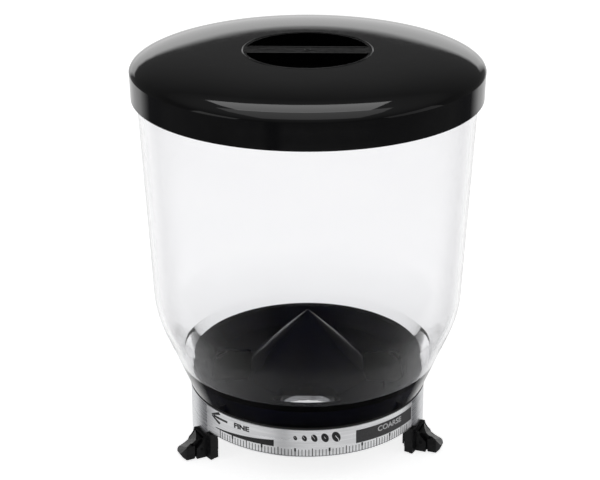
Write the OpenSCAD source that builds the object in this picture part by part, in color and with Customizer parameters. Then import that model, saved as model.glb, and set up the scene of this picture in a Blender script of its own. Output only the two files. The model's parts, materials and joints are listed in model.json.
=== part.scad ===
// Upper head of a burr coffee grinder: lidded bean hopper, funnel with its deflector
// cone, adjusting ring with a grind scale, burr carrier with the upper burr, and the
// two sprung levers that lock the ring. Z = 0 is the face the ring stands on, the Z
// axis is the hopper's axis, and the middle of the scale faces -Y.

/* [Lid] */
// Radius of the lid at its upper edge
lid_r = 115; // [113:0.5:118]
// Height of the lid's upper edge above the standing face
lid_edge_z = 262.3; // [255:0.1:275]
// Rise of the lid's top above its edge
lid_rise = 11; // [6:0.5:14]
// Depth of the lid's skirt
lid_skirt = 17.5; // [12:0.5:20]
// Thickness of the lid
lid_wall = 3; // [2.5:0.1:3.5]
// Thickness of the soft seal under the lid
seal_t = 2; // [1:0.5:3]

/* [Grip] */
// Radius of the round grip well in the lid
grip_r = 42; // [36:1:48]
// Depth of the grip well
grip_depth = 23.8; // [18:0.1:28]
// Width of the bar across the well
bar_w = 14; // [10:1:18]
// Thickness of the bar
bar_t = 8; // [6:1:10]

/* [Hopper] */
// Wall of the clear hopper
hopper_wall = 3; // [2.5:0.1:3.5]
// Radius at the corner between the upright wall and the taper
kink_r = 103.66; // [101:0.1:105]
// Height of that corner
kink_z = 95.6; // [90:0.1:100]
// Radius that rounds the corner
kink_round = 70; // [40:1:80]
// Lean of the upper wall in degrees
draft_a = 2.73; // [1:0.01:3]
// Lean of the taper in degrees
taper_a = 22.37; // [20:0.01:23]
// Turn of the hopper and the lid in the ring in degrees
hopper_turn = -4.5; // [-10:0.5:10]

/* [Funnel] */
// Height of the funnel's floor
floor_z = 47; // [46:0.5:49]
// Radius of the deflector cone at its foot
cone_r = 45; // [40:1:50]
// Height of the cone's tip above the floor
cone_h = 42.8; // [30:0.1:50]
// Width of each bean window
window_w = 44; // [30:1:48]
// Distance of a window's inner edge from the axis
window_in = 38.7; // [36:0.1:42]
// Distance of a window's outer edge from the axis
window_out = 65.5; // [60:0.5:66]

/* [Adjusting ring] */
// Outer radius of the ring
ring_r = 80.9; // [80.5:0.1:81.5]
// Inner radius of the ring
ring_in = 77; // [76.8:0.1:77.2]
// Height of the ring's lower edge in front
band_z = 20; // [19:0.5:21]
// Height of the ring's top
ring_top = 40.7; // [40:0.1:41]
// Half of the angle in front where the ring has no skirt
front_a = 57; // [54:1:58]
// Half of the scale label's angle
label_a = 58; // [50:0.1:60]
// Angle of the label's middle from the middle between the levers
label_turn = -1.7; // [-3:0.1:3]

/* [Burr] */
// Radius of the burr
burr_r = 32; // [30:0.5:34]
// Radius of the throat
throat_r = 19; // [17:0.5:20]
// Height of the burr's grinding face
burr_z = 7.1; // [6:0.1:8]
// Radius of the carrier's thread
thread_r = 45; // [42:0.5:48]
// Number of teeth on the burr
burr_teeth = 24; // [12:1:30]

/* [Levers] */
// Angle of each lever from the middle of the scale
lever_a = 67; // [65:0.5:70]
// Distance of the lever's pin from the axis
pin_u = 85.8; // [85:0.1:87]
// Height of the lever's pin
pin_z = 7.5; // [7:0.1:9]
// Radius of the lever's pin
pin_r = 1.2; // [1:0.1:1.5]
// Reach of the lever's pad from the axis
pad_reach = 99; // [96:0.5:102]
// Distance of the pad's front face from the middle of its arm
pad_front = 10.8; // [10:0.1:11.4]

/* [Hidden] */
$fn = 96;

seat = 0.05;                          // gap between pieces of one body
apart = 0.3;                          // gap between pieces that move apart
rim_z = lid_edge_z - 6.1;             // top of the hopper
land_z = rim_z + apart + seal_t + seat;
neck_z = ring_top + 1.55;             // underside of the hopper's shoulder
ledge_z = 56.2;                       // ledge that carries the funnel
ledge_top = 62;
spigot_r = ring_in - 0.3;
spigot_z = 34;
bore_r = 74;
flange_top = 26;                      // top of the ring's inner flange
flange_r = 62;
carrier_top = 38;
carrier_lip = 30.5;
throat_z = 20.5;
burr_top = 15.2;
carrier_screw_r = 72.4;
burr_screw_r = 27.5;
lock_z = 37.5;
plate_r = 83.2;                       // outer face of a lever bracket
pad_z = 1;
lever_front = 8.6;                    // reach of the lever to the front of its arm
lever_back = 5.4;                     // and to the back
lever_lean = 24.2;                    // lean of its top down to the back
arm_in = 71.6;
slot_front = 7.5;
slot_back = 5;

// Height of the lid's top face at radius r for a lid of radius rr
function crown(r, rr) = lid_rise * pow(max(0, 1 - pow(r / rr, 5)), 0.6);

// Radius of the hopper's wall at height z, measured off inward from its outer face
function taper_r(z, off) = kink_r - (kink_z - z) * tan(taper_a) - off / cos(taper_a);
function upright_r(z, off) = kink_r + (z - kink_z) * tan(draft_a) - off / cos(draft_a);

// Rounded corner between the two walls
kink_mid = (taper_a + draft_a) / 2;
kink_c = [kink_r, kink_z] - kink_round / cos((taper_a - draft_a) / 2)
         * [cos(kink_mid), -sin(kink_mid)];
function kink_arc(off) = [for (i = [0:8])
    let (a = taper_a + (draft_a - taper_a) * i / 8)
    kink_c + (kink_round - off) * [cos(a), -sin(a)]];

module around(n, turn = 0) {
    for (i = [0:n - 1]) rotate([0, 0, turn + 360 * i / n]) children();
}

module ring_of(r_out, r_in, z0, z1) {
    translate([0, 0, z0]) difference() {
        cylinder(r = r_out, h = z1 - z0);
        translate([0, 0, -1]) cylinder(r = r_in, h = z1 - z0 + 2);
    }
}

// Pie slice of half angle a about -Y, from z0 to z1
module slice(a, z0, z1) {
    far = 2 * ring_r;
    translate([0, 0, z0]) linear_extrude(height = z1 - z0)
        polygon([[0, 0], [-far * sin(a), -far * cos(a)], [0, -far * 1.2],
                 [far * sin(a), -far * cos(a)]]);
}

module rounded_rect(x0, x1, y0, y1, r) {
    translate([x0 + r, y0]) square([x1 - x0 - 2 * r, y1 - y0]);
    translate([x0, y0 + r]) square([x1 - x0, y1 - y0 - 2 * r]);
    for (x = [x0 + r, x1 - r], y = [y0 + r, y1 - r]) translate([x, y]) circle(r = r);
}

// Moves a piece drawn along +X to the right lever's place
module at_lever() {
    rotate([0, 0, lever_a - 90]) children();
}

// Stands a profile drawn in (distance from the axis, height) upright, v0 to v1 across
module across(v0, v1) {
    translate([0, v1, 0]) rotate([90, 0, 0]) linear_extrude(height = v1 - v0) children();
}

module lid() {
    steps = 14;
    outer = [for (i = [0:steps]) let (r = max(grip_r + seat, lid_r * sin(90 * i / steps)))
             if (i == 0 || lid_r * sin(90 * i / steps) > grip_r + 1)
             [r, lid_edge_z + crown(r, lid_r)]];
    ri = lid_r - lid_wall;
    inner = [for (i = [steps:-1:0]) let (r = max(grip_r + seat, ri * sin(90 * i / steps)))
             if (i == 0 || ri * sin(90 * i / steps) > grip_r + 1)
             [r, lid_edge_z - lid_wall + crown(r, ri)]];
    foot_z = lid_edge_z - lid_skirt;
    color("#101012") union() {
        rotate_extrude($fn = 180) polygon(concat(
            outer, [[lid_r - 0.4, foot_z], [ri - 0.4, foot_z]], inner));
        difference() {
            ring_of(ri + 0.5, 105.5, land_z, lid_edge_z + 2.5);
            ring_of(ri + 2, ri - 0.8, land_z - 1, lid_edge_z - lid_wall);
        }
        ring_of(106, 104, lid_edge_z - 12.5, lid_edge_z + 2.5);
    }
}

module lid_seal() {
    color("#2a2a2c") ring_of(110.8, 107.2, rim_z + apart, rim_z + apart + seal_t);
}

module grip_well() {
    top = lid_edge_z + crown(grip_r, lid_r);
    inner = grip_r - 2;
    color("#121214") rotate([0, 0, hopper_turn]) difference() {
        translate([0, 0, top - grip_depth]) cylinder(r = grip_r, h = grip_depth);
        difference() {
            translate([0, 0, top - grip_depth + 2]) cylinder(r = inner, h = grip_depth);
            translate([-grip_r, -bar_w / 2, top - bar_t]) cube([2 * grip_r, bar_w, bar_t]);
        }
    }
}

module hopper_shell() {
    outer = concat([[taper_r(neck_z, 0), neck_z]], kink_arc(0),
                   [[upright_r(rim_z, 0), rim_z]]);
    inner_top = [[upright_r(rim_z, hopper_wall), rim_z]];
    inner = kink_arc(hopper_wall);
    neck = [[taper_r(ledge_top, hopper_wall), ledge_top], [79.8, ledge_z], [bore_r, ledge_z],
            [bore_r, spigot_z], [spigot_r, spigot_z], [spigot_r, neck_z]];
    color([0.86, 0.88, 0.88, 0.35]) difference() {
        rotate_extrude($fn = 180) polygon(concat(
            outer, inner_top, [for (i = [8:-1:0]) inner[i]], neck));
        lock_screw_places() translate([bore_r + 0.9, 0, 0])
            rotate([0, 90, 0]) cylinder(r = 2.4, h = 6, $fn = 32);
    }
}

module bean_windows(z0, z1) {
    around(4) translate([0, 0, z0]) linear_extrude(height = z1 - z0)
        rounded_rect(-window_w / 2, window_w / 2, window_in, window_out, 6);
}

module funnel_insert() {
    skin = 2.5;
    color("#17182a") rotate([0, 0, hopper_turn]) difference() {
        rotate_extrude($fn = 180) polygon([
            [0, floor_z - skin], [68, floor_z - skin], [70.6, floor_z + 1.5],
            [70.6, floor_z - 7], [bore_r - 0.3, floor_z - 7], [bore_r - 0.3, ledge_z + seat],
            [79, ledge_z + seat], [79, ledge_z + 1.8], [73.5, ledge_z + 1.8],
            [71, ledge_z - 1.7], [67, floor_z], [0, floor_z]]);
        bean_windows(floor_z - 5, floor_z + 5);
        around(4, 45) translate([cone_r - 4.5, 0, floor_z - 5])
            cylinder(r = 2.05, h = 10, $fn = 32);
    }
}

module deflector_cone() {
    foot = floor_z + seat;
    tip = floor_z + cone_h;
    skin = 2.2;
    color("#17182a") rotate([0, 0, hopper_turn]) difference() {
        union() {
            difference() {
                rotate_extrude($fn = 120) polygon([
                    [0, foot], [cone_r, foot], [cone_r, foot + 0.5], [1.2, tip - 0.8],
                    [0, tip]]);
                rotate_extrude($fn = 120) polygon([
                    [0, foot - 1], [cone_r - 6, foot - 1], [cone_r - 6, foot + 3],
                    [0, tip - skin * 1.5]]);
            }
            around(4, 45) translate([cone_r - 4.5, 0, floor_z - 3.4])
                cylinder(r = 2, h = 5, $fn = 32);
        }
        bean_windows(floor_z - 1, floor_z + cone_h);
    }
}

module hopper_gasket() {
    color("#0c0c0d") ring_of(81.6, ring_in, ring_top + seat, neck_z - seat);
}

module lock_screw_places() {
    for (a = [125, 180, 235]) rotate([0, 0, a - 90]) translate([0, 0, lock_z]) children();
}

module bracket_screw_places() {
    at_lever() for (v = [-9.6, 9.6]) translate([0, v, 4.2]) children();
}

module both_sides() {
    children();
    mirror([1, 0, 0]) children();
}

module adjusting_ring() {
    color("#c9ccd2") difference() {
        union() {
            ring_of(ring_r, ring_in, band_z, ring_top);
            ring_of(ring_r - 1, flange_r, band_z, flange_top);
            difference() {
                ring_of(ring_r, ring_in, 0, band_z + 1);
                slice(front_a, -1, band_z);
            }
        }
        around(4, 45) translate([carrier_screw_r, 0, band_z - 1])
            cylinder(r = 2.05, h = 8, $fn = 32);
        lock_screw_places() translate([ring_in - 2, 0, 0])
            rotate([0, 90, 0]) cylinder(r = 2.05, h = 8, $fn = 32);
        both_sides() {
            at_lever() translate([ring_in - 3, -slot_front, 3])
                cube([10, slot_front + slot_back, 11]);
            bracket_screw_places() translate([ring_in - 3, 0, 0])
                rotate([0, 90, 0]) cylinder(r = 1.6, h = 10, $fn = 32);
        }
    }
}

module scale_label() {
    color("#b9bcc2") intersection() {
        ring_of(ring_r + 0.6, ring_r + seat, band_z + 0.7, ring_top - 0.5);
        rotate([0, 0, label_turn]) slice(label_a, 0, ring_top);
    }
}

module burr_carrier() {
    lip_r = 67.8;
    color("#9da0a4") difference() {
        rotate_extrude($fn = 180) polygon([
            [throat_r, burr_top + seat], [throat_r, throat_z], [66, carrier_top],
            [lip_r, carrier_top], [lip_r, carrier_lip], [ring_in - 0.6, carrier_lip],
            [ring_in - 0.6, flange_top + seat], [flange_r - 0.3, flange_top + seat],
            [flange_r - 0.3, band_z + 1], [58.5, band_z + 1], [58.5, 29], [50, 26.5],
            [50, band_z + 1], [thread_r, band_z + 1], [thread_r, 19.8],
            [thread_r - 1.9, 19.8], [thread_r - 1.9, 17], [thread_r, 17], [thread_r, 9],
            [thread_r - 1, 8], [burr_r + 0.2, 8], [burr_r + 0.2, burr_top + seat]]);
        around(4, 45) translate([carrier_screw_r, 0, band_z])
            cylinder(r = 2.25, h = 14, $fn = 32);
        around(3) translate([burr_screw_r, 0, burr_top - 1])
            cylinder(r = 2.05, h = 6.6, $fn = 32);
    }
}

module carrier_o_ring() {
    color("#1a1a1a") rotate_extrude($fn = 120) translate([thread_r - 0.5, 18.4])
        circle(r = 1.3, $fn = 32);
}

module upper_burr() {
    color("#7c7f84") difference() {
        rotate_extrude($fn = 120) polygon([
            [throat_r + 0.3, burr_top], [throat_r + 0.3, burr_z + 4.5],
            [25, burr_z], [burr_r, burr_z], [burr_r, burr_top]]);
        around(burr_teeth, 7.5) translate([throat_r, -0.7, burr_z - 1])
            rotate([0, 0, 12]) cube([burr_r, 1.4, 2.2]);
        around(3) translate([burr_screw_r, 0, burr_z - 1]) {
            cylinder(r = 2.2, h = 12, $fn = 32);
            cylinder(r = 4.2, h = 2, $fn = 32);
            translate([0, 0, 2 - seat]) cylinder(r1 = 4.2, r2 = 2.2, h = 2, $fn = 32);
        }
    }
}

module burr_screws() {
    color("#55585c") around(3) translate([burr_screw_r, 0, burr_z + 1]) difference() {
        union() {
            cylinder(r1 = 4.05, r2 = 2, h = 2.05, $fn = 32);
            translate([0, 0, 2]) cylinder(r = 2, h = 10.5, $fn = 32);
        }
        translate([-5, -0.5, -1]) cube([10, 1, 1.8]);
    }
}

module carrier_screws() {
    color("#6c6f73") around(4, 45) translate([carrier_screw_r, 0, 0]) difference() {
        union() {
            translate([0, 0, band_z + 0.5]) cylinder(r = 2, h = 10.5, $fn = 32);
            translate([0, 0, carrier_lip + seat]) cylinder(r = 3.5, h = 2.9, $fn = 32);
        }
        translate([0, 0, carrier_lip + 1.2]) cylinder(r = 1.7, h = 4, $fn = 6);
    }
}

module hopper_lock_screws() {
    color("#8a8d91") lock_screw_places() rotate([0, 90, 0]) difference() {
        union() {
            translate([0, 0, bore_r + 1.2]) cylinder(r = 2, h = 6.5, $fn = 32);
            translate([0, 0, ring_r + seat]) cylinder(r = 3.4, h = 2.1, $fn = 32);
        }
        translate([0, 0, ring_r + 0.9]) cylinder(r = 1.7, h = 4, $fn = 6);
    }
}

// Plate on the skirt, with a taller bar in front and a lip over the skirt's end
module bracket_plate() {
    intersection() {
        ring_of(plate_r, ring_r + seat, 0.6, 19.6);
        union() {
            translate([70, -13.2, 0]) cube([20, 1.8, 20]);
            translate([70, -12, 0]) cube([20, 19.3, 14.6]);
            translate([70, 0, 0]) cube([20, 11.8, 8.4]);
            rotate([0, 0, front_a - lever_a]) translate([70, -2.4, 0]) cube([20, 4, 20]);
        }
    }
    rotate([0, 0, front_a - lever_a]) translate([ring_in + 0.1, -2.2, 0.8])
        cube([plate_r - ring_in - 1.3, 2.2 - seat, 18.6]);
}

module bracket_cheek(v0, v1, outline) {
    difference() {
        across(v0, v1) polygon(concat([[81.6, 14.6], [81.6, 0.6]], outline));
        translate([0, 0, -1]) cylinder(r = ring_r + 0.6, h = 30);
    }
}

module lever_bracket_right() {
    color("#0e0e10") at_lever() difference() {
        union() {
            bracket_plate();
            bracket_cheek(-11.4, -8.9, [[89.4, 0.6], [89.4, 8.4], [87.6, 10], [85.2, 12.4],
                                        [83.4, 14.6]]);
            bracket_cheek(5.7, 7.5, [[88, 0.6], [88.2, 5.8], [87.4, 8], [85.6, 9.7],
                                     [84.1, 11.8], [83.2, 14.6]]);
            translate([81.5, 9.6, 4.2]) rotate([0, 90, 0]) cylinder(r = 2, h = 4, $fn = 32);
        }
        across(-12, 12) translate([pin_u, pin_z]) circle(r = pin_r + 0.02);
        translate([79, -slot_front, 1.6])
            cube([plate_r - 78.7, slot_front + slot_back, 9.6]);
        for (v = [-9.6, 9.6]) translate([79, v, 4.2]) rotate([0, 90, 0])
            cylinder(r = 1.3, h = 6, $fn = 32);
    }
}

module lever_bracket_left() {
    mirror([1, 0, 0]) lever_bracket_right();
}

module bracket_screws() {
    color("#6c6f73") both_sides() bracket_screw_places() rotate([0, 90, 0]) difference() {
        union() {
            translate([0, 0, 74.2]) cylinder(r = 2.6, h = 1.9, $fn = 32);
            translate([0, 0, 75]) cylinder(r = 1.25, h = 9.5, $fn = 32);
        }
        translate([-3, -0.4, 73.5]) cube([6, 0.8, 1.5]);
    }
}

// Everything under a hollow slope, from the ring out to the pad and down to the back
module lever_slope() {
    rear = [[83, 13.9], [84.6, 11.7], [86.1, 9.9], [88.2, 7.9], [90.7, 6.2], [93.2, 4.9],
            [95.7, 3.9], [97.2, 2.3], [98.8, -0.6], [pad_reach + 2, -6]];
    rotate([-lever_lean, 0, 0]) across(-40, 40) polygon(concat(
        [for (p = rear) [p[0], (p[1] + lever_back * tan(lever_lean)) * cos(lever_lean)]],
        [[pad_reach + 2, -40], [83, -40]]));
}

module lever_right() {
    color("#0e0e10") at_lever() difference() {
        union() {
            across(0.8 - slot_front, slot_back - 0.8) polygon([
                [arm_in, 1.5], [arm_in + 3, 1.5], [arm_in + 3.6, 5.5], [pin_u, 5.5],
                [pin_u, 9.5], [arm_in, 9.5]]);
            intersection() {
                union() {
                    across(-lever_front, lever_back) {
                        translate([pin_u, pin_z]) circle(r = 2.1);
                        polygon([[pin_u - 0.6, pin_z - 1.9], [86.6, pad_z], [92, pad_z],
                                 [92, 13.4], [83.7, 13.4], [84, 9.4]]);
                    }
                    intersection() {
                        across(-pad_front, lever_back) polygon([
                            [90.6, pad_z + 0.4], [91.2, pad_z], [96.6, pad_z],
                            [98.2, pad_z + 1], [pad_reach, pad_z + 2.6], [pad_reach, 8.2],
                            [97.6, 9.8], [95.6, 10.5], [90.6, 10.9]]);
                        translate([pad_reach - 15, -2.5, 0]) cylinder(r = 15, h = 20);
                    }
                }
                lever_slope();
            }
        }
        across(-12, 12) translate([pin_u, pin_z]) circle(r = pin_r + 0.06);
    }
}

module lever_left() {
    mirror([1, 0, 0]) lever_right();
}

module lever_pin_right() {
    color("#a8abb0") at_lever() across(-11.3, 7.4)
        translate([pin_u, pin_z]) circle(r = pin_r, $fn = 32);
}

module lever_pin_left() {
    mirror([1, 0, 0]) lever_pin_right();
}

module lever_spring_right() {
    turns = 4.5;
    wire = 0.4;
    color("#b0b3b8") at_lever() translate([arm_in + 2.6, -1.2, 9.9])
        linear_extrude(height = band_z - 10.1, twist = -360 * turns, slices = 72, $fn = 8)
        translate([2, 0]) circle(r = wire);
}

module lever_spring_left() {
    mirror([1, 0, 0]) lever_spring_right();
}

lid();
lid_seal();
grip_well();
hopper_shell();
funnel_insert();
deflector_cone();
hopper_gasket();
adjusting_ring();
scale_label();
burr_carrier();
carrier_o_ring();
upper_burr();
burr_screws();
carrier_screws();
hopper_lock_screws();
lever_bracket_left();
lever_bracket_right();
bracket_screws();
lever_left();
lever_right();
lever_pin_left();
lever_pin_right();
lever_spring_left();
lever_spring_right();
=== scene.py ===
"""Looks of the coffee grinder's hopper head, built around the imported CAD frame. Metres, Z up."""
import json
import math

import bmesh
import bpy
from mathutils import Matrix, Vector


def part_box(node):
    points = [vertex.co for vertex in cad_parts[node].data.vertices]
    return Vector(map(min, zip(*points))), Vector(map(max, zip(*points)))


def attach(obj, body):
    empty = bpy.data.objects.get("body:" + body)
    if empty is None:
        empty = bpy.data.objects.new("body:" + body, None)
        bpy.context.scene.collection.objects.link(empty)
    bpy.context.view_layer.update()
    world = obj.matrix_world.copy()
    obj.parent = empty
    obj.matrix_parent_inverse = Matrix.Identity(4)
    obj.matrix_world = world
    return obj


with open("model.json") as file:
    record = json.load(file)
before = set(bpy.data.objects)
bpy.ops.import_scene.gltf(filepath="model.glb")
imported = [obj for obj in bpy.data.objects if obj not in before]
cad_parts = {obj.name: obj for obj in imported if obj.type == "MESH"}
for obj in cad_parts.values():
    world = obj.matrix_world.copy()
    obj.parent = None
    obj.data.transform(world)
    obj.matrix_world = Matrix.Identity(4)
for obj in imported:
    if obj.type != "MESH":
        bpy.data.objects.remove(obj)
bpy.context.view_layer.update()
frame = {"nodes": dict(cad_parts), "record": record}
NODES = frame["nodes"]
ROOT = "ring_and_hopper"
MM = 0.001


# ---------------------------------------------------------------- camera, light and floor

CAM_TURN = math.radians(-3.5)      # the ring stands turned by this much to the camera
CAM_BACK = 1.0337                  # from the hopper's axis
CAM_HEIGHT = 0.57485
CAM_PITCH = math.radians(22.783)
CAM_LENS = 99.9                    # millimetres, on a sensor 36 mm wide
CAM_SENSOR = 36
CAM_SHIFT = -0.0127

# Brightness of the dome by the sine of the height above the horizon
DOME_FRONT = ((-1.0, 0.03), (-0.78, 0.05), (-0.62, 1.0), (-0.44, 1.0), (-0.37, 0.12),
              (-0.22, 0.12), (-0.02, 0.5), (0.05, 0.22), (0.22, 0.13), (0.6, 0.09),
              (0.75, 0.2), (1.0, 0.4))
DOME_BACK = ((-1.0, 0.5), (-0.6, 0.9), (-0.02, 1.0), (0.03, 1.35), (0.22, 1.35),
             (0.25, 0.13), (0.6, 0.09), (0.75, 0.2), (1.0, 0.4))
# Each pair runs from none to all of a dome, by a coordinate of the direction
ABOVE = (-0.3, -0.1)               # front dome all round, by z
SIDE_FADE = (0.42, 0.18)           # front dome below the horizon, by y
BEHIND = (0.55, 0.72)              # back dome, by y
BACK_LOW = (0.0, -0.06)            # back dome at its full width, by z
BAND_END = (0.22, 0.14)            # back dome above the horizon, by the square of x
DARK_SIDE = (0.06, 0.06, 0.065, 1)
# Dark stand left of the camera: x of its edges, and how soft they are
STAND = (-0.47, -0.33)
STAND_SOFT = 0.04

FLOOR_HALF = 6
FLOOR_GLOW = 0.8                   # the table glows like a light table, and stays white

# Area lights: place, the point it shines at, width and height, and watts
LIGHTS = {
    "light_back_top": ((0, 0.74, 1.46), (0, 0, 0.26), (0.80, 0.48), 2.6),
    "light_left": ((-1.25, -0.55, 0.75), (0, 0, 0.15), (0.7, 1.0), 2),
    "light_right": ((1.25, -0.45, 0.75), (0, 0, 0.15), (0.9, 1.0), 1.5),
    "light_above": ((0, 0.1, 2.2), (0, 0, 0), (1.6, 1.6), 7),
}


def make_camera():
    data = bpy.data.cameras.new("camera")
    data.sensor_width = CAM_SENSOR
    data.lens = CAM_LENS
    data.shift_x = CAM_SHIFT
    data.clip_start = 0.05
    data.clip_end = 50
    cam = bpy.data.objects.new("camera", data)
    bpy.context.scene.collection.objects.link(cam)
    cam.location = (CAM_BACK * math.sin(CAM_TURN), -CAM_BACK * math.cos(CAM_TURN), CAM_HEIGHT)
    cam.rotation_euler = (math.pi / 2 - CAM_PITCH, 0, CAM_TURN)
    bpy.context.scene.camera = cam


def softbox(name, place, target, size, power):
    data = bpy.data.lights.new(name, "AREA")
    data.shape = "RECTANGLE"
    data.size, data.size_y = size
    data.energy = power
    lamp = bpy.data.objects.new(name, data)
    bpy.context.scene.collection.objects.link(lamp)
    lamp.location = place
    lamp.rotation_euler = (Vector(target) - Vector(place)).to_track_quat("-Z", "Y").to_euler()


def dome_ramp(nt, fac, stops):
    """Brightness by fac, which is 0 straight down, 0.5 at the horizon and 1 straight up."""
    ramp = nt.nodes.new("ShaderNodeValToRGB")
    nt.links.new(fac, ramp.inputs[0])
    elements = ramp.color_ramp.elements
    elements[0].position, elements[1].position = 0, 1
    for sine, grey in stops[1:-1]:
        elements.new((sine + 1) / 2).color = (grey, grey, grey, 1)
    for element, (_, grey) in ((elements[0], stops[0]), (elements[-1], stops[-1])):
        element.color = (grey, grey, grey, 1)
    return ramp.outputs[0]


def world_range(nt, fac, start, end):
    """0 at the start, 1 at the end."""
    node = nt.nodes.new("ShaderNodeMapRange")
    nt.links.new(fac, node.inputs["Value"])
    node.inputs["From Min"].default_value = start
    node.inputs["From Max"].default_value = end
    return node.outputs["Result"]


def world_math(nt, kind, a, b):
    node = nt.nodes.new("ShaderNodeMath")
    node.operation = kind
    nt.links.new(a, node.inputs[0])
    nt.links.new(b, node.inputs[1])
    return node.outputs[0]


def make_world():
    """A studio dome, which the shiny surfaces mirror. The front dome is grey at the horizon and
    dim above it. Below the horizon it has a white band, which the label mirrors, with a dark
    stand in it, and the sides are dark. Behind the object stands the white back dome, which
    is narrower above the horizon."""
    world = bpy.data.worlds.new("studio")
    bpy.context.scene.world = world
    world.use_nodes = True
    nt = world.node_tree
    split = nt.nodes.new("ShaderNodeSeparateXYZ")
    coord = nt.nodes.new("ShaderNodeTexCoord")
    nt.links.new(coord.outputs["Generated"], split.inputs[0])
    x, y, z = split.outputs
    height = world_range(nt, z, -1, 1)
    stand = world_math(nt, "MAXIMUM",
                       world_range(nt, x, STAND[0] + STAND_SOFT, STAND[0] - STAND_SOFT),
                       world_range(nt, x, STAND[1] - STAND_SOFT, STAND[1] + STAND_SOFT))
    above = world_range(nt, z, *ABOVE)
    below = world_math(nt, "MULTIPLY", stand, world_range(nt, y, *SIDE_FADE))
    front = world_math(nt, "MAXIMUM", above, below)
    wide = world_range(nt, world_math(nt, "MULTIPLY", x, x), *BAND_END)
    band = world_math(nt, "MAXIMUM", world_range(nt, z, *BACK_LOW), wide)
    back = world_math(nt, "MULTIPLY", band, world_range(nt, y, *BEHIND))
    last = None
    for fac, dome in ((front, DOME_FRONT), (back, DOME_BACK)):
        mix = nt.nodes.new("ShaderNodeMix")
        mix.data_type = "RGBA"
        nt.links.new(fac, mix.inputs["Factor"])
        if last:
            nt.links.new(last, mix.inputs["A"])
        else:
            mix.inputs["A"].default_value = DARK_SIDE
        nt.links.new(dome_ramp(nt, height, dome), mix.inputs["B"])
        last = mix.outputs["Result"]
    nt.links.new(last, nt.nodes["Background"].inputs["Color"])


def make_floor():
    """The white table. Shiny surfaces mirror the dome in its place."""
    mesh = bpy.data.meshes.new("floor")
    half = FLOOR_HALF
    mesh.from_pydata([(-half, -half, 0), (half, -half, 0), (half, half, 0), (-half, half, 0)],
                     [], [(0, 1, 2, 3)])
    floor = bpy.data.objects.new("floor", mesh)
    bpy.context.scene.collection.objects.link(floor)
    look = Look("floor_paint", roughness=0.7, specular=0.2)
    look.set("Emission Color", (1, 1, 1, 1))
    look.set("Emission Strength", FLOOR_GLOW)
    look.tone(look.noise(6, detail=2), (0.86, 0.86, 0.87), (0.90, 0.90, 0.905))
    mesh.materials.append(look.mat)
    floor.visible_glossy = False


# ---------------------------------------------------------------- materials

NECK_SHADE_Z = (0.055, 0.100)             # heights over which the painted shade on the clear plastic fades: darker below, lighter above


class Look:
    """A Principled material with its patterns."""

    def __init__(self, name, roughness=0.5, metallic=0.0, specular=0.5, ior=1.5):
        self.mat = bpy.data.materials.new(name)
        self.mat.use_nodes = True
        self.nt = self.mat.node_tree
        self.bsdf = self.nt.nodes["Principled BSDF"]
        self.set("Roughness", roughness)
        self.set("Metallic", metallic)
        self.set("Specular IOR Level", specular)
        self.set("IOR", ior)
        self.coords = self.nt.nodes.new("ShaderNodeTexCoord").outputs["Object"]

    def set(self, socket, value):
        self.bsdf.inputs[socket].default_value = value

    def math(self, kind, a, b=None):
        node = self.nt.nodes.new("ShaderNodeMath")
        node.operation = kind
        for slot, value in zip(node.inputs, (a, b)):
            if value is None:
                continue
            if isinstance(value, (int, float)):
                slot.default_value = value
            else:
                self.nt.links.new(value, slot)
        return node.outputs[0]

    def round_coords(self, along, across):
        """Coordinates that run round the axis: a pattern is drawn out by along / across."""
        split = self.nt.nodes.new("ShaderNodeSeparateXYZ")
        self.nt.links.new(self.coords, split.inputs[0])
        x, y, z = split.outputs
        angle = self.math("ARCTAN2", x, y)
        radius = self.math("SQRT", self.math("ADD", self.math("MULTIPLY", x, x),
                                             self.math("MULTIPLY", y, y)))
        join = self.nt.nodes.new("ShaderNodeCombineXYZ")
        self.nt.links.new(self.math("MULTIPLY", angle, along), join.inputs[0])
        self.nt.links.new(self.math("MULTIPLY", radius, across), join.inputs[1])
        self.nt.links.new(self.math("MULTIPLY", z, across), join.inputs[2])
        return join.outputs[0]

    def noise(self, scale, detail=3.0, coords=None):
        node = self.nt.nodes.new("ShaderNodeTexNoise")
        node.inputs["Scale"].default_value = scale
        node.inputs["Detail"].default_value = detail
        self.nt.links.new(coords or self.coords, node.inputs["Vector"])
        return node.outputs["Fac"]

    def between(self, fac, low, high, start=0.3, end=0.7):
        """Low where fac is at the start, high where it is at the end."""
        node = self.nt.nodes.new("ShaderNodeMapRange")
        self.nt.links.new(fac, node.inputs["Value"])
        for socket, value in (("From Min", start), ("From Max", end), ("To Min", low),
                              ("To Max", high)):
            node.inputs[socket].default_value = value
        return node.outputs["Result"]

    def tone(self, fac, dark, light, start=0.35, end=0.65):
        """Sets the base colour: dark where fac is at the start, light where it is at the end."""
        ramp = self.nt.nodes.new("ShaderNodeValToRGB")
        self.nt.links.new(fac, ramp.inputs[0])
        for stop, at, colour in zip(ramp.color_ramp.elements, (start, end), (dark, light)):
            stop.position = at
            stop.color = (*colour, 1)
        self.nt.links.new(ramp.outputs[0], self.bsdf.inputs["Base Color"])

    def rough(self, fac, low, high):
        self.nt.links.new(self.between(fac, low, high), self.bsdf.inputs["Roughness"])

    def bump(self, fac, depth_mm):
        node = self.nt.nodes.new("ShaderNodeBump")
        node.inputs["Distance"].default_value = depth_mm * MM
        self.nt.links.new(fac, node.inputs["Height"])
        self.nt.links.new(node.outputs[0], self.bsdf.inputs["Normal"])


def gloss_black():
    look = Look("gloss_black", specular=0.32)
    look.tone(look.noise(40), (0.0032, 0.0032, 0.0036), (0.0048, 0.0048, 0.0052))
    look.rough(look.noise(160, detail=6), 0.025, 0.06)
    look.bump(look.noise(55, detail=1), 0.006)
    return look.mat


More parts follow.
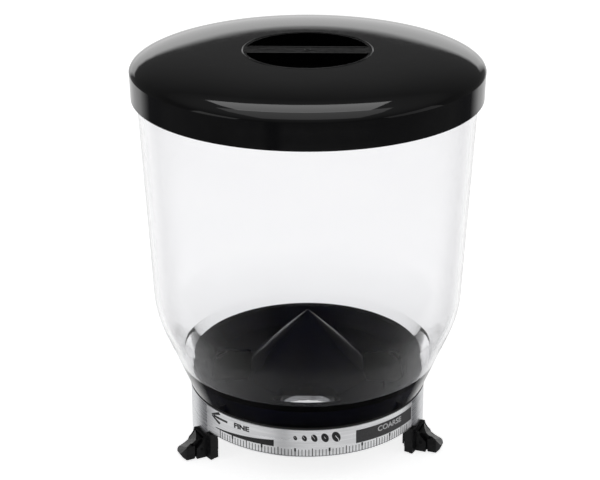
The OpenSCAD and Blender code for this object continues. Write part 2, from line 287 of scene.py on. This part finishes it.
def well_black():
    look = Look("well_black", specular=0.02)
    look.tone(look.noise(90), (0.0020, 0.0020, 0.0022), (0.0034, 0.0034, 0.0036))
    look.rough(look.noise(260, detail=6), 0.10, 0.22)
    look.bump(look.noise(400, detail=2), 0.004)
    return look.mat


def clear_plastic():
    """Clear, with painted shade that makes the neck below a little darker. It mirrors next to
    nothing at a right angle, or the table's light inside the wall would veil what stands behind it."""
    look = Look("clear_plastic", ior=1.58)
    look.set("Transmission Weight", 1.0)
    look.set("Specular Tint", (0.02, 0.02, 0.02, 1))
    split = look.nt.nodes.new("ShaderNodeSeparateXYZ")
    look.nt.links.new(look.coords, split.inputs[0])
    # painted shade: the base colour turns darker towards the neck below, by height
    height = look.between(split.outputs["Z"], 0, 1, *NECK_SHADE_Z)
    cloud = look.math("MULTIPLY", look.noise(14, detail=2), 0.2)
    look.tone(look.math("ADD", height, cloud),
              (0.755, 0.758, 0.766), (0.868, 0.868, 0.874), 0.0, 1.0)
    look.rough(look.noise(90, detail=5), 0.0, 0.012)
    look.bump(look.noise(9, detail=1), 0.03)
    return look.mat


def funnel_navy():
    look = Look("funnel_navy", specular=0.07)
    look.tone(look.noise(60), (0.0012, 0.0012, 0.0080), (0.0020, 0.0020, 0.0120))
    look.rough(look.noise(260, detail=6), 0.14, 0.24)
    look.bump(look.noise(700, detail=2), 0.002)
    return look.mat


def black_rubber():
    look = Look("black_rubber", specular=0.3)
    look.tone(look.noise(200), (0.006, 0.006, 0.006), (0.014, 0.014, 0.014))
    look.rough(look.noise(500), 0.55, 0.75)
    look.bump(look.noise(1800, detail=2), 0.02)
    return look.mat


def turned_aluminium():
    look = Look("turned_aluminium", metallic=1.0)
    turned = look.round_coords(0.06, 60)
    look.tone(look.noise(30, detail=6, coords=turned), (0.76, 0.77, 0.79), (0.84, 0.85, 0.87))
    look.rough(look.noise(24, detail=5, coords=turned), 0.22, 0.36)
    look.bump(look.noise(60, detail=4, coords=turned), 0.006)
    return look.mat


def brushed_label():
    look = Look("brushed_label", metallic=0.85)
    brushed = look.round_coords(0.08, 40)
    look.tone(look.noise(30, detail=7, coords=brushed), (0.78, 0.785, 0.80), (0.88, 0.885, 0.90))
    look.rough(look.noise(40, detail=5, coords=brushed), 0.26, 0.42)
    look.bump(look.noise(90, detail=4, coords=brushed), 0.010)
    return look.mat


def machined_casting():
    look = Look("machined_casting", metallic=1.0)
    turned = look.round_coords(0.8, 50)
    look.tone(look.noise(35, detail=5, coords=turned), (0.030, 0.031, 0.034), (0.055, 0.056, 0.060))
    look.rough(look.noise(260, detail=4), 0.30, 0.5)
    look.bump(look.noise(50, detail=3, coords=turned), 0.008)
    return look.mat


def ground_steel():
    look = Look("ground_steel", metallic=1.0)
    ground = look.round_coords(2.5, 90)
    look.tone(look.noise(40, detail=6, coords=ground), (0.26, 0.265, 0.28), (0.46, 0.465, 0.48))
    look.rough(look.noise(40, detail=5, coords=ground), 0.2, 0.38)
    look.bump(look.noise(60, detail=3, coords=ground), 0.006)
    return look.mat


def plated_steel():
    look = Look("plated_steel", metallic=1.0)
    look.tone(look.noise(500), (0.45, 0.46, 0.47), (0.62, 0.63, 0.64))
    look.rough(look.noise(900, detail=4), 0.2, 0.38)
    look.bump(look.noise(1500), 0.004)
    return look.mat


def blackened_steel():
    look = Look("blackened_steel", metallic=1.0)
    look.tone(look.noise(400), (0.010, 0.010, 0.011), (0.022, 0.022, 0.023))
    look.rough(look.noise(900, detail=4), 0.3, 0.5)
    look.bump(look.noise(1500), 0.004)
    return look.mat


def lever_black():
    look = Look("lever_black", specular=0.14)
    look.tone(look.noise(300), (0.004, 0.004, 0.0045), (0.010, 0.010, 0.011))
    look.rough(look.noise(420, detail=5), 0.24, 0.44)
    look.bump(look.noise(900, detail=3), 0.02)
    return look.mat


def printed_ink(name, dark, light):
    look = Look(name, specular=0.4)
    look.tone(look.noise(900), dark, light)
    look.rough(look.noise(1500), 0.35, 0.5)
    look.bump(look.noise(2500), 0.004)
    return look.mat


# ---------------------------------------------------------------- CAD nodes

WELD = 2e-6
PINS = ("lever_pin_left", "lever_pin_right")
# Edges that turn less than this many degrees are shaded smooth
SMOOTH_UNDER = {"lid": 26, "hopper_shell": 12, "deflector_cone": 12}


def soften_shading(obj, angle):
    """Shades an object smooth across edges that turn less than the angle, by a modifier."""
    group = bpy.data.node_groups.new("shading_" + obj.name, "GeometryNodeTree")
    group.interface.new_socket("Geometry", in_out="INPUT", socket_type="NodeSocketGeometry")
    group.interface.new_socket("Geometry", in_out="OUTPUT", socket_type="NodeSocketGeometry")
    add, link = group.nodes.new, group.links.new
    start, end = add("NodeGroupInput"), add("NodeGroupOutput")
    weld = add("GeometryNodeMergeByDistance")
    weld.inputs["Distance"].default_value = WELD
    drop = add("GeometryNodeRemoveAttribute")
    drop.inputs["Name"].default_value = "custom_normal"
    faces = add("GeometryNodeSetShadeSmooth")
    edges = add("GeometryNodeSetShadeSmooth")
    edges.domain = "EDGE"
    turn = add("GeometryNodeInputMeshEdgeAngle")
    flat_enough = add("FunctionNodeCompare")
    flat_enough.operation = "LESS_THAN"
    flat_enough.inputs[1].default_value = angle
    link(start.outputs[0], weld.inputs["Geometry"])
    link(weld.outputs[0], drop.inputs["Geometry"])
    link(drop.outputs[0], faces.inputs["Geometry"])
    link(faces.outputs[0], edges.inputs["Geometry"])
    link(turn.outputs["Unsigned Angle"], flat_enough.inputs[0])
    link(flat_enough.outputs[0], edges.inputs["Shade Smooth"])
    link(edges.outputs[0], end.inputs[0])
    obj.modifiers.new("shading", "NODES").node_group = group


def finish_nodes():
    """Gives each CAD node its material, and returns the materials by slot."""
    looks = {
        "gloss_black": gloss_black(), "clear": clear_plastic(), "funnel_navy": funnel_navy(),
        "black_rubber": black_rubber(), "cast_aluminium": turned_aluminium(),
        "label_aluminium": brushed_label(), "carrier_aluminium": machined_casting(),
        "burr_steel": ground_steel(), "screw_steel": plated_steel(),
        "lever_black": lever_black(),
    }
    own = dict.fromkeys(PINS, blackened_steel())
    own["grip_well"] = well_black()
    for part in frame["record"]["subparts"]:
        look = own.get(part["node"], looks[part["material_slot"]])
        for slot in NODES[part["node"]].material_slots:
            slot.material = look
    for name, angle in SMOOTH_UNDER.items():
        soften_shading(NODES[name], math.radians(angle))
    return looks


# ---------------------------------------------------------------- edges of the grip well

HOPPER_TURN = math.radians(-4.5)    # turn of the lid and its grip in the ring
WELL_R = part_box("grip_well")[1].x
WELL_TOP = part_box("grip_well")[1].z
BAR_HALF = 7 * MM                   # half the bar's width
BAR_GAP = 0.6 * MM                  # from the ends of the bar's beads to the well's edge
GATE_R = 1.7 * MM
BEAD = 0.45 * MM                    # radius
BEAD_SIDES = 8
BEAD_TIP = 0.35                     # share of the radius at an open end
BEAD_SUNK = 0.3 * BEAD              # from the lid's top down to a bead's middle
GATE_SUNK = 0.2 * BEAD
UP = Vector((0, 0, 1))


def bead(name, path, closed, material):
    """A fine round bead along a path on the lid's top."""
    turns = [2 * math.pi * k / BEAD_SIDES for k in range(BEAD_SIDES)]
    last = len(path) - 1
    bm = bmesh.new()
    rings = []
    for i, point in enumerate(path):
        after = path[(i + 1) % len(path)] if closed or i < last else point
        before = path[i - 1] if closed or i else point
        across = (after - before).normalized().cross(UP)
        radius = BEAD if closed or 0 < i < last else BEAD * BEAD_TIP
        rings.append([bm.verts.new(point + radius * (across * math.cos(a) + UP * math.sin(a)))
                      for a in turns])
    for i in range(len(rings) if closed else last):
        a, b = rings[i], rings[(i + 1) % len(rings)]
        for k in range(BEAD_SIDES):
            beside = (k + 1) % BEAD_SIDES
            bm.faces.new((a[k], a[beside], b[beside], b[k]))
    if not closed:
        bm.faces.new(rings[0])
        bm.faces.new(rings[-1][::-1])
    bmesh.ops.recalc_face_normals(bm, faces=bm.faces[:])
    for face in bm.faces:
        face.smooth = True
    mesh = bpy.data.meshes.new(name)
    bm.to_mesh(mesh)
    bm.free()
    mesh.materials.append(material)
    piece = bpy.data.objects.new(name, mesh)
    bpy.context.scene.collection.objects.link(piece)
    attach(piece, "lid")


def circle(radius, height, count):
    turns = [2 * math.pi * i / count for i in range(count)]
    return [Vector((radius * math.cos(a), radius * math.sin(a), height)) for a in turns]


def finish_grip(material):
    """Beads round the well and along the bar's edges, and the moulding's gate mark on the bar."""
    height = WELL_TOP - BEAD_SUNK
    bead("grip_edge_bead", circle(WELL_R, height, 120), True, material)
    reach = math.sqrt(WELL_R ** 2 - BAR_HALF ** 2) - BAR_GAP
    turn, steps = HOPPER_TURN, 24
    xs = [reach * (2 * i / steps - 1) for i in range(steps + 1)]
    for name, y in (("bar_edge_front", -BAR_HALF), ("bar_edge_back", BAR_HALF)):
        edge = [Vector((x * math.cos(turn) - y * math.sin(turn),
                        x * math.sin(turn) + y * math.cos(turn), height)) for x in xs]
        bead(name, edge, False, material)
    bead("bar_gate_mark", circle(GATE_R, WELL_TOP - GATE_SUNK, 24), True, material)


# ---------------------------------------------------------------- printed scale

LABEL_TURN = math.radians(-1.7)     # the label's middle, from the middle of the ring's front
PLATE_R = -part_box("scale_label")[0].y
PLATE_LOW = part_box("scale_label")[0].z
INK = 0.05 * MM                     # the print stands out of the plate by this much
INK_SUNK = 0.03 * MM                # and reaches into it by this much
STEP = 1.2 * MM                     # widest strip of a wrapped mark
TICKS = range(-30, 34)              # numbers of the scale's ticks, 0 is a long one
TICK = 1.6                          # degrees between them
TICK_AT = 0.4                       # place of number 0, in degrees from the label's middle
TICK_FOOT = PLATE_LOW + 0.5 * MM
LINE_END = 56.5                     # degrees from the middle to the ends of the line below them
BEANS_Z = 34.4 * MM                 # height of the bean marks


def wrap(name, draw, material, lift=0.0):
    """Cuts a flat drawing, x along the plate and y up, into strips and wraps it on the plate."""
    bm = bmesh.new()
    draw(bm)
    bmesh.ops.triangulate(bm, faces=bm.faces)
    bmesh.ops.remove_doubles(bm, verts=bm.verts, dist=1e-7)
    xs = [v.co.x for v in bm.verts]
    for i in range(math.ceil(min(xs) / STEP), math.floor(max(xs) / STEP) + 1):
        bmesh.ops.bisect_plane(bm, geom=bm.verts[:] + bm.edges[:] + bm.faces[:], dist=1e-8,
                               plane_co=(i * STEP, 0, 0), plane_no=(1, 0, 0))
    for v in bm.verts:
        v.co.z = 0
    top = bmesh.ops.extrude_face_region(bm, geom=bm.faces[:])["geom"]
    for v in (g for g in top if isinstance(g, bmesh.types.BMVert)):
        v.co.z = 1
    for v in bm.verts:
        radius = PLATE_R + lift + (INK if v.co.z else -INK_SUNK)
        angle = v.co.x / PLATE_R + LABEL_TURN
        v.co = Vector((radius * math.sin(angle), -radius * math.cos(angle), v.co.y))
    bmesh.ops.recalc_face_normals(bm, faces=bm.faces[:])
    mesh = bpy.data.meshes.new(name)
    bm.to_mesh(mesh)
    bm.free()
    mesh.materials.append(material)
    mark = bpy.data.objects.new(name, mesh)
    bpy.context.scene.collection.objects.link(mark)
    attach(mark, ROOT)


def arc(degrees):
    """Length along the plate of an angle from its middle."""
    return math.radians(degrees) * PLATE_R


def polygon(bm, points):
    bm.faces.new([bm.verts.new((x, y, 0)) for x, y in points])


def rectangle(bm, x0, x1, y0, y1):
    polygon(bm, [(x0, y0), (x1, y0), (x1, y1), (x0, y1)])


def draw_arrow(bm):
    """An arrow to the left, of a shaft and two barbs."""
    tip, tail, mid = arc(-53.2), arc(-42.6), 35.3 * MM
    shaft, barb = 1.5 * MM, 1.5 * MM               # widths of the strokes
    barb_x, barb_y = tip + 8.6 * MM, 3.1 * MM      # a barb's end, on its inner side
    rectangle(bm, tip + 1.2 * MM, tail, mid - shaft / 2, mid + shaft / 2)
    for side in (-1, 1):
        polygon(bm, [(tip, mid), (barb_x, mid + side * barb_y),
                     (barb_x - 1.7 * MM, mid + side * (barb_y + barb)),
                     (tip - 1.1 * MM, mid + side * 0.6 * MM)][::side])


def draw_wedge(bm):
    left, right = arc(-50.9), arc(-17.6)
    low, thin, thick = 26.8 * MM, 0.5 * MM, 4.75 * MM
    polygon(bm, [(left, low), (right, low), (right, low + thick), (left, low + thin)])


def draw_block(bm):
    rectangle(bm, arc(21.2), arc(57.2), 27.1 * MM, 36.7 * MM)


def draw_ticks(bm):
    """Ticks on a line. Every fifth is longer, and every second one of those has a heavy head."""
    foot, long_top = TICK_FOOT, TICK_FOOT + 5.6 * MM
    short_top, head_foot = TICK_FOOT + 4.7 * MM, TICK_FOOT + 3.2 * MM
    long_half, short_half, head_half = 0.3 * MM, 0.22 * MM, 0.62 * MM
    for i in TICKS:
        x = arc(TICK_AT + i * TICK)
        half, top = (short_half, short_top) if i % 5 else (long_half, long_top)
        rectangle(bm, x - half, x + half, foot, top)
        if i % 10 == 5:
            rectangle(bm, x - head_half, x + head_half, head_foot, long_top)
    rectangle(bm, arc(-LINE_END), arc(LINE_END), foot - 0.25 * MM, foot)


def draw_beans(bm):
    """Five bean marks that grow from fine to coarse: two halves with an S-shaped crease."""
    count, points = 5, 14
    left, right = arc(-7.5), arc(11.5)
    lean = math.radians(24)
    crease_swing, crease_gap, crease_reach = 0.10, 0.045, 0.94     # of the bean's width or length
    turns = [math.pi * k / points for k in range(points + 1)]
    for i in range(count):
        length = (3.4 + 1.15 * i) * MM
        width = length * 0.68
        middle = left + (right - left) * (i * 0.85 + i * i * 0.0375) / (count - 1)
        for side in (-1, 1):
            rim = [(side * width / 2 * math.sin(a), length / 2 * math.cos(a)) for a in turns]
            crease = [(width * (crease_swing * math.sin(2 * a) + side * crease_gap),
                       -length / 2 * crease_reach * math.cos(a)) for a in turns[1:-1]]
            half = [(middle + x * math.cos(lean) - y * math.sin(lean),
                     BEANS_Z + x * math.sin(lean) + y * math.cos(lean)) for x, y in rim + crease]
            polygon(bm, half[::-side])


def lettering(words, x0, x1, low, height, bold):
    """A function that draws one word flat between two places along the plate. Bold is how far
    the outlines of letters 1 high are moved out."""
    def draw(bm):
        curve = bpy.data.curves.new(words, "FONT")
        curve.body = words
        curve.size = 1
        curve.offset = bold
        curve.resolution_u = 4
        text = bpy.data.objects.new(words, curve)
        bpy.context.scene.collection.objects.link(text)
        bpy.context.view_layer.update()
        graph = bpy.context.evaluated_depsgraph_get()
        mesh = bpy.data.meshes.new_from_object(text.evaluated_get(graph))
        bpy.data.objects.remove(text)
        xs = [v.co.x for v in mesh.vertices]
        ys = [v.co.y for v in mesh.vertices]
        for v in mesh.vertices:
            v.co.x = x0 + (v.co.x - min(xs)) / (max(xs) - min(xs)) * (x1 - x0)
            v.co.y = low + (v.co.y - min(ys)) / (max(ys) - min(ys)) * height
        bm.from_mesh(mesh)
    return draw


def print_scale():
    black = printed_ink("black_ink", (0.006, 0.006, 0.007), (0.014, 0.014, 0.015))
    grey = printed_ink("grey_ink", (0.026, 0.026, 0.028), (0.040, 0.040, 0.042))
    silver = printed_ink("silver_ink", (0.42, 0.42, 0.43), (0.56, 0.56, 0.57))
    wrap("scale_arrow", draw_arrow, black)
    wrap("scale_wedge", draw_wedge, black)
    wrap("scale_block", draw_block, grey)
    wrap("scale_ticks", draw_ticks, black)
    wrap("scale_beans", draw_beans, black)
    fine = lettering("FINE", arc(-38.5), arc(-30.0), 33.5 * MM, 3.8 * MM, 0.045)
    wrap("scale_word_fine", fine, black)
    coarse = lettering("COARSE", arc(32.9), arc(48.3), 31.2 * MM, 4.1 * MM, 0.025)
    wrap("scale_word_coarse", coarse, silver, lift=INK)


# ---------------------------------------------------------------- the scene

bpy.context.scene.view_settings.view_transform = "Standard"
make_camera()
make_world()
make_floor()
for lamp, setup in LIGHTS.items():
    softbox(lamp, *setup)
materials = finish_nodes()
finish_grip(materials["gloss_black"])
print_scale()
